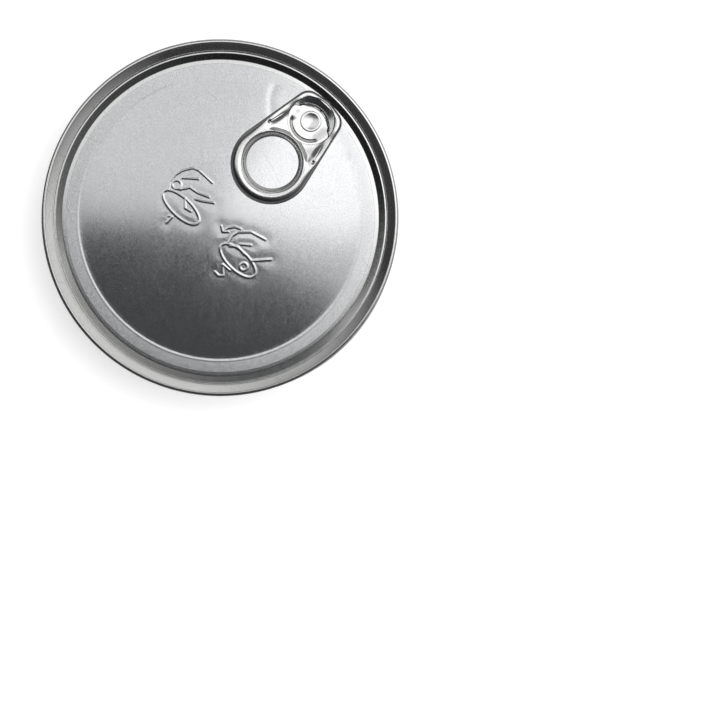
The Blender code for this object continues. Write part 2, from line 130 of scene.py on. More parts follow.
def rounded_path(corners, steps=7):
    """A line through corners (x, y, radius) with each corner swept round: the arc starts and
    ends radius * tan(turn / 2) from the corner and is worked out by even steps of turn."""
    points = np.array([corner[:2] for corner in corners], float)
    radii = np.array([corner[2] for corner in corners], float)
    line = [points[0]]
    for index in range(1, len(points) - 1):
        back = points[index - 1] - points[index]
        ahead = points[index + 1] - points[index]
        back_length, ahead_length = np.linalg.norm(back), np.linalg.norm(ahead)
        back, ahead = back / back_length, ahead / ahead_length
        turn = math.pi - math.acos(float(np.clip(back @ ahead, -1, 1)))
        if turn < 1e-4 or radii[index] <= 0:
            line.append(points[index])
            continue
        cut = min(radii[index] * math.tan(turn / 2), back_length * 0.499, ahead_length * 0.499)
        radius = cut / math.tan(turn / 2)
        middle = (back + ahead) / np.linalg.norm(back + ahead)
        centre = points[index] + middle * radius / math.cos(turn / 2)
        first = points[index] + back * cut - centre
        share = np.linspace(0, 1, steps)[:, None]
        last = points[index] + ahead * cut - centre
        swept = np.sin((1 - share) * turn) * first + np.sin(share * turn) * last
        line.extend(centre + swept / math.sin(turn))
    line.append(points[-1])
    return np.array(line)


def sheet_loop(path, thickness):
    """Closed outline of a sheet: the path moved half the thickness along its normal to one
    side, then back along the other side. Normals are those of the path's running direction."""
    step = np.gradient(path, axis=0)
    step /= np.linalg.norm(step, axis=1)[:, None]
    normal = np.stack([-step[:, 1], step[:, 0]], axis=1)
    return np.vstack([path + normal * thickness / 2, (path - normal * thickness / 2)[::-1]])


def revolve(name, loop, segments, body, material, centre=(0.0, 0.0), ripple=None):
    """A closed outline of (radius, height) carried round a vertical line: a place is
    (radius * cos turn, radius * sin turn, height). Points on the line become one pole."""
    loop = loop[::-1] if loop_area(loop) < 0 else loop
    turn = 2 * np.pi * np.arange(segments) / segments
    on_axis = loop[:, 0] < 1e-7
    if on_axis.any():
        first = int(np.flatnonzero(on_axis)[-1]) if not on_axis[0] or not on_axis[-1] else None
        if first is None:
            lows = np.flatnonzero(on_axis)
            first = int(lows[np.argmax(np.diff(np.append(lows, len(loop) + lows[0])))])
        loop = np.roll(loop, -first, axis=0)
        on_axis = loop[:, 0] < 1e-7
    rows = loop[~on_axis]
    radius = np.repeat(rows[:, :1], segments, axis=1)
    height = np.repeat(rows[:, 1:], segments, axis=1)
    if ripple is not None:
        radius, height = ripple(radius, height, turn[None, :])
    places = np.stack([centre[0] + radius * np.cos(turn), centre[1] + radius * np.sin(turn),
                       height], axis=-1).reshape(-1, 3)
    closed = not on_axis.any()
    quads = ring_quads(len(rows), segments, closed)
    tris = None
    if not closed:
        poles = loop[on_axis]
        start_z, end_z = poles[0][1], poles[-1][1]
        count = len(places)
        places = np.vstack([places, [(*centre, start_z), (*centre, end_z)]])
        tris = np.vstack([cap_fan(0, segments, count, True),
                          cap_fan((len(rows) - 1) * segments, segments, count + 1)])
        if abs(start_z - rows[0][1]) > abs(end_z - rows[0][1]):
            places[-2, 2], places[-1, 2] = end_z, start_z
    item = make_mesh(name, places, quads, tris, body, material)
    face_outwards(item)
    return item


def loop_area(loop):
    """Signed area of a closed outline."""
    following = np.roll(loop, -1, axis=0)
    return float(np.sum(loop[:, 0] * following[:, 1] - following[:, 0] * loop[:, 1]) / 2)


def triangles(mesh):
    """Places of a mesh's vertices, and the three corners of each of its triangles."""
    places = np.empty(len(mesh.vertices) * 3)
    mesh.vertices.foreach_get("co", places)
    places = places.reshape(-1, 3)
    mesh.calc_loop_triangles()
    corners = np.empty(len(mesh.loop_triangles) * 3, int)
    mesh.loop_triangles.foreach_get("vertices", corners)
    return places, [places[corners.reshape(-1, 3)[:, side]] for side in range(3)]

def face_outwards(item):
    """Turn every face over if the closed mesh holds a negative volume."""
    a, b, c = triangles(item.data)[1]
    if float(np.sum(a * np.cross(b, c))) < 0:
        item.data.flip_normals()

def smoothstep(low, high, value):
    """0 up to low, 1 from high on, and s * s * (3 - 2 * s) between."""
    share = np.clip((value - low) / (high - low), 0, 1)
    return share * share * (3 - 2 * share)


def wave_noise(places, scale, seed, count=14):
    """A smooth field in [-1, 1]: the mean of plane waves in random directions, with
    wavelengths round the scale."""
    draw = np.random.default_rng(seed)
    ways = draw.normal(size=(count, 3))
    ways /= np.linalg.norm(ways, axis=1)[:, None]
    waves = 2 * np.pi / (scale * draw.uniform(0.7, 1.5, count))
    phases = draw.uniform(0, 2 * np.pi, count)
    value = np.zeros(places.shape[:-1])
    for way, wave, phase in zip(ways, waves, phases):
        value += np.sin(places @ way * wave + phase)
    return value / math.sqrt(count)


# ---------------------------------------------------------------- materials

class Graph:
    """A short way to place nodes in a tree and join their sockets. Any value may be a socket
    of another node."""

    def __init__(self, tree):
        self.tree = tree

    def node(self, kind, inputs=None, **settings):
        made = self.tree.nodes.new(kind)
        for key, value in settings.items():
            setattr(made, key, value)
        for key, value in (inputs or {}).items():
            if isinstance(value, bpy.types.NodeSocket):
                self.link(value, made.inputs[key])
            elif value is not None:
                made.inputs[key].default_value = value
        return made

    def link(self, source, target):
        self.tree.links.new(source, target)

    def math(self, operation, first, second=None):
        return self.node("ShaderNodeMath", {0: first, 1: second}, operation=operation).outputs[0]

    def times(self, first, second):
        return self.math("MULTIPLY", first, second)

    def ramp(self, factor, stops):
        made = self.node("ShaderNodeValToRGB", {"Fac": factor})
        elements = made.color_ramp.elements
        while len(elements) < len(stops):
            elements.new(0.5)
        for element, (place, colour) in zip(elements, stops):
            element.position = place
            element.color = (*colour, 1.0)
        return made.outputs["Color"]

    def span(self, value, low, high, out_low, out_high):
        return self.node("ShaderNodeMapRange", {
            "Value": value, "From Min": low, "From Max": high, "To Min": out_low,
            "To Max": out_high}).outputs["Result"]

    def mix(self, factor, first, second):
        return self.node("ShaderNodeMix", {0: factor, 6: first, 7: second},
                         data_type="RGBA").outputs[2]

    def dot(self, first, second):
        return self.node("ShaderNodeVectorMath", {0: first, 1: second},
                         operation="DOT_PRODUCT").outputs["Value"]

    def noise(self, place, scale, detail=2.0, roughness=0.5, distortion=0.0):
        return self.node("ShaderNodeTexNoise", {
            "Vector": place, "Scale": scale, "Detail": detail, "Roughness": roughness,
            "Distortion": distortion}).outputs["Fac"]

    def group(self, tree, place):
        return self.node("ShaderNodeGroup", {"Place": place}, node_tree=tree)

    def relief(self, shader, height, strength, distance):
        bump = self.node("ShaderNodeBump", {
            "Height": height, "Strength": strength, "Distance": distance})
        self.link(bump.outputs["Normal"], shader.inputs["Normal"])

def new_group(name, inputs, outputs):
    """A node group with named inputs (name, kind, value) and outputs (name, kind)."""
    tree = bpy.data.node_groups.new(name, "ShaderNodeTree")
    for label, kind, value in inputs:
        socket = tree.interface.new_socket(label, in_out="INPUT", socket_type=kind)
        if value is not None:
            socket.default_value = value
    for label, kind in outputs:
        tree.interface.new_socket(label, in_out="OUTPUT", socket_type=kind)
    return tree, tree.nodes.new("NodeGroupInput"), tree.nodes.new("NodeGroupOutput")


def make_grain_group():
    """Rolling grain: noise drawn out into long fine lines along Y of the given coordinates,
    in two widths, with short breaks."""
    tree, source, sink = new_group(
        "rolling grain",
        [("Place", "NodeSocketVector", None), ("Lines per metre", "NodeSocketFloat", 6000.0),
         ("Length of a line", "NodeSocketFloat", 0.4)],
        [("Grain", "NodeSocketFloat"), ("Broad", "NodeSocketFloat")])
    graph = Graph(tree)
    stretch = graph.node("ShaderNodeCombineXYZ", {
        "X": 1.0, "Y": source.outputs["Length of a line"], "Z": 1.0})
    along = graph.node("ShaderNodeVectorMath", {
        0: source.outputs["Place"], 1: stretch.outputs[0]}, operation="MULTIPLY").outputs[0]
    lines = source.outputs["Lines per metre"]
    graph.link(graph.noise(along, lines, 3.0, 0.65), sink.inputs["Grain"])
    graph.link(graph.noise(along, graph.times(lines, 0.12)), sink.inputs["Broad"])
    return tree

def make_handling_group():
    """Marks of handling: soft cloudy smudges, and a few hair-thin scratches made of the zero
    lines of a warped wave."""
    tree, source, sink = new_group(
        "handling marks",
        [("Place", "NodeSocketVector", None), ("Size", "NodeSocketFloat", 60.0)],
        [("Smudge", "NodeSocketFloat"), ("Scratch", "NodeSocketFloat")])
    graph = Graph(tree)
    place, size = source.outputs["Place"], source.outputs["Size"]
    lines = graph.node("ShaderNodeTexWave", {"Vector": place, "Scale": size, "Distortion": 14.0,
                                             "Detail": 1.0, "Detail Scale": 0.6})
    thin = graph.span(lines.outputs["Fac"], 0.0, 0.006, 1.0, 0.0)
    where = graph.span(graph.noise(place, 190.0), 0.56, 0.62, 0.0, 1.0)
    graph.link(graph.noise(place, size, 4.0, 0.55, 0.6), sink.inputs["Smudge"])
    graph.link(graph.times(thin, where), sink.inputs["Scratch"])
    return tree

def make_edge_group():
    """Edge wear: how sharply the surface turns over a small distance, from the difference
    between the plain normal and a bevelled one, broken up by noise."""
    tree, source, sink = new_group(
        "edge wear",
        [("Place", "NodeSocketVector", None), ("Reach", "NodeSocketFloat", 0.0004)],
        [("Wear", "NodeSocketFloat")])
    graph = Graph(tree)
    plain = graph.node("ShaderNodeNewGeometry").outputs["Normal"]
    bevel = graph.node("ShaderNodeBevel", {"Radius": source.outputs["Reach"]}, samples=4)
    edge = graph.span(graph.dot(plain, bevel.outputs["Normal"]), 0.999, 0.93, 0.0, 1.0)
    chips = graph.noise(source.outputs["Place"], 900.0, 3.0)
    worn = graph.times(edge, graph.span(chips, 0.35, 0.65, 0.2, 1.0))
    graph.link(worn, sink.inputs["Wear"])
    return tree

GRAIN = make_grain_group()
HANDLING = make_handling_group()
EDGES = make_edge_group()


def new_material(name):
    """An empty material: the material, its graph and its Principled shader."""
    material = bpy.data.materials.new(name)
    material.use_nodes = True
    graph = Graph(material.node_tree)
    shader = material.node_tree.nodes["Principled BSDF"]
    return material, graph, shader


def metal(name, dark, light, roughness, grain_lines, bump, on_wall=False, rough_spread=0.06):
    """Sheet steel: grain of the rolls in colour, roughness and height, smudges and scratches
    of handling, and bright worn edges. The grain runs up the view, or up a wall."""
    material, graph, shader = new_material(name)
    place = graph.node("ShaderNodeTexCoord").outputs["Object"]
    if on_wall:
        split = graph.node("ShaderNodeSeparateXYZ", {"Vector": place})
        along = graph.node("ShaderNodeCombineXYZ", {
            "X": split.outputs["X"], "Y": split.outputs["Z"], "Z": split.outputs["Y"]})
    else:
        along = graph.node("ShaderNodeMapping", {
            "Vector": place, "Rotation": (0.0, 0.0, NOSE_ANGLE)})
    grain = graph.group(GRAIN, along.outputs[0])
    grain.inputs["Lines per metre"].default_value = grain_lines
    marks = graph.group(HANDLING, place)
    wear = graph.group(EDGES, place)
    streak = graph.math("ADD", graph.times(grain.outputs["Grain"], 0.88),
                        graph.times(grain.outputs["Broad"], 0.12))
    tone = graph.ramp(streak, [(0.32, dark), (0.62, light)])
    tone = graph.mix(graph.times(wear.outputs["Wear"], 0.5), tone, (0.88, 0.88, 0.87, 1.0))
    tone = graph.mix(graph.times(marks.outputs["Scratch"], 0.35), tone, (0.42, 0.42, 0.42, 1.0))
    graph.link(tone, shader.inputs["Base Color"])
    rough = graph.span(streak, 0.3, 0.7, roughness - rough_spread / 2,
                       roughness + rough_spread / 2)
    rough = graph.math("ADD", rough, graph.span(marks.outputs["Smudge"], 0.4, 0.7, 0.0, 0.02))
    graph.link(rough, shader.inputs["Roughness"])
    shader.inputs["Metallic"].default_value = 1.0
    graph.relief(shader, streak, 0.35, bump)
    return material

def make_compound_material():
    """Dull sealing rubber with a fine dusty mottle."""
    material, graph, shader = new_material("seam_compound_rubber")
    place = graph.node("ShaderNodeTexCoord").outputs["Object"]
    mottle = graph.noise(place, 2200.0, 5.0)
    tone = graph.ramp(mottle, [(0.3, (0.28, 0.30, 0.26)), (0.7, (0.40, 0.42, 0.37))])
    graph.link(tone, shader.inputs["Base Color"])
    graph.link(graph.span(mottle, 0.3, 0.7, 0.65, 0.85), shader.inputs["Roughness"])
    graph.relief(shader, mottle, 0.3, 0.00005)
    return material

def make_cashew_material():
    """Roasted cashew: golden tan with browner patches, fibres and specks, painted shade in the
    crease, fine wrinkles and a slight waxy sheen. The depth in the crease, which sets the painted
    shade, and the nut's own tone come from attributes of the mesh."""
    material, graph, shader = new_material("roasted_cashew")
    place = graph.node("ShaderNodeTexCoord").outputs["Object"]
    crease = graph.node("ShaderNodeAttribute", attribute_name="crease").outputs["Fac"]
    own_tone = graph.node("ShaderNodeAttribute", attribute_name="own_tone").outputs["Fac"]
    patches = graph.noise(place, 260.0, 5.0, 0.6)
    fibres = graph.noise(place, 1500.0, 4.0, 0.7, 0.8)
    pores = graph.node("ShaderNodeTexVoronoi", {"Vector": place, "Scale": 900.0})
    base = graph.ramp(patches, [
        (0.30, (0.56, 0.28, 0.05)), (0.44, (0.76, 0.47, 0.13)), (0.56, (0.88, 0.64, 0.25)),
        (0.72, (0.96, 0.81, 0.47))])
    golden = graph.mix(own_tone, base, (0.73, 0.44, 0.09, 1.0))
    base = graph.mix(0.45, base, golden)
    base = graph.mix(graph.span(fibres, 0.35, 0.6, 0.28, 0.0), base, (0.55, 0.31, 0.10, 1.0))
    # painted shade: darker brown where the crease is deep
    base = graph.mix(graph.times(crease, 0.65), base, (0.46, 0.25, 0.08, 1.0))
    specks = graph.span(pores.outputs["Distance"], 0.10, 0.02, 0.0, 0.45)
    some = graph.span(patches, 0.52, 0.6, 0.0, 1.0)
    base = graph.mix(graph.times(specks, some), base, (0.30, 0.16, 0.06, 1.0))
    graph.link(base, shader.inputs["Base Color"])
    graph.link(graph.span(patches, 0.3, 0.7, 0.30, 0.44), shader.inputs["Roughness"])
    shader.inputs["Subsurface Weight"].default_value = 0.12
    shader.inputs["Subsurface Radius"].default_value = (0.0016, 0.0009, 0.0004)
    shader.inputs["Subsurface Scale"].default_value = 1.0
    shader.inputs["Specular IOR Level"].default_value = 0.6
    folds = graph.math("ADD", patches, graph.times(fibres, 0.35))
    folds = graph.math("SUBTRACT", folds, graph.times(specks, 0.25))
    graph.relief(shader, folds, 0.7, 0.00045)
    return material

def towards_light(graph, way):
    """How far a vector reaches to the upper right of the view, where the light comes from."""
    return graph.dot(way, (VIEW_RIGHT + VIEW_UP) * 0.7071)

def make_floor_material():
    """White studio paper with a barely seen tooth. The metal mirrors it darker, and darker
    still on the side away from the light, so that it keeps its own tones."""
    material, graph, shader = new_material("studio_paper")
    place = graph.node("ShaderNodeTexCoord").outputs["Object"]
    tooth = graph.noise(place, 900.0, 3.0)
    tone = graph.ramp(tooth, [(0.2, (0.89, 0.89, 0.89)), (0.8, (0.91, 0.91, 0.91))])
    graph.link(tone, shader.inputs["Base Color"])
    graph.link(tone, shader.inputs["Emission Color"])
    shader.inputs["Emission Strength"].default_value = 0.45
    shader.inputs["Roughness"].default_value = 0.9
    shader.inputs["Specular IOR Level"].default_value = 0.1
    shade = graph.span(towards_light(graph, place), -0.15, 0.15, 0.22, 0.80)
    mirrored = graph.node("ShaderNodeEmission", {"Strength": shade})
    path = graph.node("ShaderNodeLightPath")
    both = graph.node("ShaderNodeMixShader", {
        0: path.outputs["Is Glossy Ray"], 1: shader.outputs[0], 2: mirrored.outputs[0]})
    output = material.node_tree.nodes["Material Output"]
    graph.link(both.outputs[0], output.inputs["Surface"])
    return material

TINPLATE = metal("body_tinplate_grain", (0.60, 0.60, 0.60), (0.76, 0.76, 0.75), 0.24, 5200.0,
                 0.000012, on_wall=True)
RIM_STEEL = metal("rim_steel_grain", (0.68, 0.685, 0.68), (0.80, 0.80, 0.79), 0.14, 4200.0,
                  0.000005, rough_spread=0.05)
LID_STEEL = metal("lid_steel_grain", (0.51, 0.515, 0.525), (0.73, 0.735, 0.74), 0.13, 6800.0,
                  0.000006)
TAB_STEEL = metal("tab_steel_polish", (0.72, 0.72, 0.715), (0.84, 0.84, 0.83), 0.17, 4200.0,
                  0.000006, rough_spread=0.04)
COMPOUND = make_compound_material()
CASHEW = make_cashew_material()


# ---------------------------------------------------------------- the can

def seam_corners():
    """Middle line of an end's sheet through a double seam, crown at height 0, depth down:
    cover hook, foot, seaming wall, round crown, chuck wall's top. Last number: corner radius."""
    foot = -(SEAM_HEIGHT - END_SHEET / 2)
    crown = -END_SHEET / 2
    half = (SEAM_WALL - CHUCK_WALL) / 2
    return [
        (COVER_HOOK, foot + HOOK_LENGTH, 0.0),
        (COVER_HOOK, foot, 0.28 * MM),
        (SEAM_WALL, foot, 0.28 * MM),
        (SEAM_WALL, crown, half * 0.98),
        (CHUCK_WALL, crown, half * 0.98),
    ]


def ledge_corners(depth, inner_depth, round_radius, lean):
    """On down the leaning chuck wall, round the countersink and up to the panel's level."""
    foot = CHUCK_WALL - 0.9 * MM
    inner = foot - 1.25 * round_radius
    return [
        (foot, -depth + END_SHEET / 2, round_radius),
        (inner, -depth + END_SHEET / 2, round_radius),
        (inner - lean, -inner_depth, 0.35 * MM),
    ]


def make_top_ring():
    """What stays on the can when the lid is torn out, turned from one rounded path: seam,
    sloping shoulder, upright chuck wall, countersink and ledge."""
    crown = -END_SHEET / 2
    corners = seam_corners()[:3] + [
        (SEAM_WALL, crown, 0.40 * MM), (SEAM_WALL - 0.60 * MM, crown, 0.32 * MM),
        (CHUCK_WALL - 0.82 * MM, -1.45 * MM, 0.12 * MM)]
    corners += ledge_corners(4.7 * MM, 4.0 * MM, 0.45 * MM, 1.40 * MM)
    corners += [(RING_EDGE + 0.45 * MM, -4.00 * MM, 0.3 * MM), (RING_EDGE, -4.01 * MM, 0.0)]
    path = rounded_path(corners, 9)
    path[:, 1] += CAN_TOP
    item = revolve("top_end_ring_fine", sheet_loop(path, END_SHEET), 256, "can", RIM_STEEL)
    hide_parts("top_end_ring")


def make_bottom_end():
    """The plain end under the can: seam, countersink and a panel with two rolled steps."""
    corners = seam_corners() + ledge_corners(3.4 * MM, 2.6 * MM, 0.45 * MM, 0.35 * MM)
    corners += [
        (26.2 * MM, -2.6 * MM, 0.6 * MM), (25.4 * MM, -3.05 * MM, 0.5 * MM),
        (24.6 * MM, -3.05 * MM, 0.5 * MM), (23.8 * MM, -2.6 * MM, 0.6 * MM),
        (14.0 * MM, -2.6 * MM, 0.5 * MM), (13.4 * MM, -2.45 * MM, 0.5 * MM),
        (0.0, -2.45 * MM, 0.0)]
    path = rounded_path(corners, 8)
    path[:, 1] *= -1
    loop = sheet_loop(path, END_SHEET)
    loop[:, 0] = np.maximum(loop[:, 0], 0.0)
    item = revolve("bottom_end_fine", loop, 256, "can", RIM_STEEL)
    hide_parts("bottom_end")


def weld_ripple(radius, height, turn):
    """The welded lap of the body: the wall stands 0.09 mm proud over a strip 1.1 mm wide that
    runs straight up at the back, fading out at the hooks."""
    away = np.abs(np.angle(np.exp(1j * (turn - math.radians(200)))))
    strip = 1 - smoothstep(0.45 * MM, 0.65 * MM, away * BODY_WALL)
    level = smoothstep(3.5 * MM, 4.5 * MM, height) * (1 - smoothstep(
        CAN_TOP - 4.5 * MM, CAN_TOP - 3.5 * MM, height))
    outside = radius > BODY_WALL
    return radius + 0.09 * MM * strip * level * outside, height


def make_body():
    """The rolled and welded wall with an outward hook at each end. Its long straight part has
    rows of its own so that the weld can follow them."""
    top, low = CAN_TOP - HOOK_DROP, HOOK_DROP
    corners = [(BODY_HOOK, top - HOOK_LENGTH, 0.0), (BODY_HOOK, top, 0.26 * MM),
               (BODY_WALL, top, 0.26 * MM)]
    corners += [(BODY_WALL, z, 0.0) for z in np.linspace(top - 2 * MM, low + 2 * MM, 28)]
    corners += [(BODY_WALL, low, 0.26 * MM), (BODY_HOOK, low, 0.26 * MM),
                (BODY_HOOK, low + HOOK_LENGTH, 0.0)]
    loop = sheet_loop(rounded_path(corners, 6), BODY_SHEET)
    item = revolve("can_body_fine", loop, 512, "can", TINPLATE, ripple=weld_ripple)
    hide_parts("can_body")


# ---------------------------------------------------------------- the lid

def oval(x, y, wide, tall, count):
    """Points round an oval, the first one again at the end."""
    return [(x + wide * math.cos(a), y + tall * math.sin(a))
            for a in np.linspace(0, 2 * math.pi, count)]

def line_distance(x, y, line):
    """Least distance from each place to a line of straight pieces: the foot of the
    perpendicular is held between the two ends of a piece."""
    nearest = np.full(x.shape, 1.0)
    for start, stop in zip(line[:-1], line[1:]):
        way = stop - start
        share = ((x - start[0]) * way[0] + (y - start[1]) * way[1]) / (way @ way)
        share = np.clip(share, 0, 1)
        nearest = np.minimum(nearest, np.hypot(x - start[0] - share * way[0],
                                               y - start[1] - share * way[1]))
    return nearest

# The embossed pictures as lines, in mm. The first is a lid seen at an angle, its ring, a hand
# that lifts it and a digit; in the second the hand pulls back, with a curved arrow.
FIRST_PICTURE = [
    oval(-4.1, 7.7, 2.0, 5.0, 33), oval(-1.2, 11.7, 0.95, 0.95, 15),
    [(-3.0, 12.3), (-1.7, 13.1), (0.2, 13.3), (1.8, 12.9), (3.8, 11.6), (4.3, 10.3), (4.3, 6.4)],
    [(0.7, 11.8), (1.7, 10.6), (2.9, 9.1)], [(-1.5, 10.5), (0.3, 9.2), (0.6, 7.2), (1.6, 4.8)],
    [(-0.7, 6.6), (0.0, 5.2), (1.4, 3.2)], [(-2.0, 8.5), (-3.6, 6.9), (-3.3, 5.6)],
    [(-8.6, 7.7), (-6.9, 7.7)], [(-7.2, 8.3), (-6.9, 7.7)],
]
SECOND_PICTURE = [
    oval(-4.1, -9.0, 2.1, 4.8, 33), oval(-4.2, -10.8, 0.8, 0.8, 13),
    [(-2.6, -4.9), (-1.0, -4.5), (0.4, -4.9), (2.3, -6.9), (3.2, -10.2)],
    [(-3.0, -5.6), (-1.9, -7.0), (-2.2, -9.1)], [(-1.2, -7.0), (0.2, -8.8)],
    [(-2.1, -11.2), (-0.8, -12.4), (0.9, -14.0)],
    [(-1.7, -2.4), (-0.4, -2.7), (0.7, -3.6), (1.2, -4.8)],
    [(-1.1, -1.3), (-1.8, -2.4), (-1.0, -3.3)],
    [(-9.2, -7.1), (-9.3, -8.2), (-8.6, -8.9), (-7.8, -8.0), (-6.9, -7.2), (-6.8, -9.2)],
]
STROKES = [np.array(stroke) * MM for stroke in FIRST_PICTURE + SECOND_PICTURE]

BEAD_FOOT = 30.05 * MM
BEAD_STEP = 30.85 * MM
FOOT_DROP = 0.10 * MM
STEP_RISE = 0.045 * MM
SLOPE_RISE = 0.125 * MM
CROWN = 0.50 * MM
CROWN_RADIUS = 29.65 * MM


def bead_level(radius):
    """Height of the stiffening bead against the ledge: a rounded step up from the panel and a
    long straight slope that climbs to the torn edge."""
    step = STEP_RISE * smoothstep(BEAD_FOOT, BEAD_STEP, radius)
    slope = SLOPE_RISE * np.clip((radius - BEAD_STEP) / (PANEL_EDGE - BEAD_STEP), 0, 1)
    return step + slope - FOOT_DROP


def panel_level(x, y, pictures=True):
    """Height of the middle of the panel's sheet: a shallow crown, the stiffening bead near
    the edge that runs out on both sides of the tab's nose, a faint line round the nose, a
    dish round the rivet and the embossed pictures."""
    radius = np.hypot(x, y)
    turn = np.abs(np.arctan2(y, x))
    crown = CROWN * (1 - np.clip(radius / CROWN_RADIUS, 0, 1) ** 2)
    open_part = smoothstep(math.radians(28), math.radians(75), turn)
    flat_part = -FOOT_DROP + 0.06 * MM * smoothstep(BEAD_FOOT, PANEL_EDGE, radius)
    level = LEDGE_Z + crown + flat_part + (bead_level(radius) - flat_part) * open_part
    nose_zone = np.hypot((x - 30.5 * MM) / 1.0, y / 1.25)
    step = np.exp(-((nose_zone - 8.9 * MM) / (0.6 * MM)) ** 2)
    level = level - 0.03 * MM * step * (1 - smoothstep(30.0 * MM, 31.5 * MM, radius))
    from_rivet = np.hypot(x - RIVET_X, y)
    dish = smoothstep(2.6 * MM, 3.1 * MM, from_rivet) * (
        1 - np.clip((from_rivet - 3.0 * MM) / (2.3 * MM), 0, 1))
    level = level - 0.42 * MM * dish
    if not pictures:
        return level
    distance = np.min([line_distance(x, y, stroke) for stroke in STROKES], axis=0)
    ridge = np.exp(-(distance / (0.17 * MM)) ** 2)
    level = level + 0.06 * MM * ridge
    plate = np.exp(-(distance / (1.3 * MM)) ** 2)
    level = level - 0.02 * MM * plate
    waves = wave_noise(np.stack([x, y, x * 0], axis=-1), 26 * MM, 5)
    return level + 0.012 * MM * waves * (1 - smoothstep(26 * MM, 30 * MM, radius))


def make_panel():
    """The lid: rings of vertices close together where the pictures and the bead are, each
    lifted to the panel's level, over an underside of fewer rings that follows the same level
    a sheet's thickness lower. The two share the torn edge."""
    columns = 384
    radii = np.concatenate([
        np.linspace(0.2, 14.8, 112), np.linspace(15.3, 29.0, 22), np.linspace(29.3, 33.05, 34)
    ]) * MM
    radii = radii * (PANEL_EDGE / radii[-1])
    turn = 2 * np.pi * np.arange(columns) / columns
    x, y = radii[:, None] * np.cos(turn), radii[:, None] * np.sin(turn)
    top = np.stack([x, y, panel_level(x, y) + END_SHEET / 2], axis=-1)
    under_radii = np.concatenate([np.linspace(33.05, 29.3, 22), np.linspace(28, 1.0, 14)]) * MM
    under_radii = under_radii * (PANEL_EDGE / under_radii[0])
    ux, uy = under_radii[:, None] * np.cos(turn), under_radii[:, None] * np.sin(turn)
    under = np.stack([ux, uy, panel_level(ux, uy, False) - END_SHEET / 2], axis=-1)
    rows = len(radii) + len(under_radii)
    places = np.vstack([top.reshape(-1, 3), under.reshape(-1, 3)])
    count = len(places)
    tips = np.array([[0, 0, panel_level(np.zeros(1), np.zeros(1))[0] + side * END_SHEET / 2]
                     for side in (1, -1)])
    places = np.vstack([places, tips])
    tris = np.vstack([cap_fan(0, columns, count, True),
                      cap_fan((rows - 1) * columns, columns, count + 1)])
    item = make_mesh("tear_panel_fine", places, ring_quads(rows, columns), tris, None, LID_STEEL)
    face_outwards(item)
    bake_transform(item)
    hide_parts("tear_panel")


# ---------------------------------------------------------------- the tab

HOLE_CENTRE = 16.3 * MM
HOLE_RADIUS = 5.6 * MM
WINDOW_RADIUS = 5.0 * MM
TAB_BASE = TAB_LOW.z
EDGE_LEVEL = TAB_BASE + 0.45 * MM      # where the tab's top and underside meet
ISLAND_LIFT = 0.28 * MM
TAB_TALL = TAB_HIGH.z - TAB_LOW.z
LOBES = np.array([
    (15.9, 0.0, 8.7), (30.6, 2.85, 3.0), (30.6, -2.85, 3.0), (32.6, 0.0, 1.5)]) * MM


def tab_outline(count):
    """The tightest band round the tab's four circles: in each direction the point of the
    circle that reaches furthest, then spaced evenly along the line."""
    turn = np.linspace(0, 2 * np.pi, 4001)
    ways = np.stack([np.cos(turn), np.sin(turn)], axis=1)
    reach = ways @ LOBES[:, :2].T + LOBES[:, 2]
    best = LOBES[np.argmax(reach, axis=1)]
    line = best[:, :2] + ways * best[:, 2:]
    along = np.concatenate([[0], np.cumsum(np.linalg.norm(np.diff(line, axis=0), axis=1))])
    even = np.linspace(0, along[-1], count + 1)[:-1]
    return np.stack([np.interp(even, along, line[:, axis]) for axis in (0, 1)], axis=1)


def dome(distance, width):
    """A quarter round: 0 at the edge, 1 from the width on."""
    share = np.clip(distance / width, 0, 1)
    return np.sqrt(np.clip(1 - (1 - share) ** 2, 0, 1))


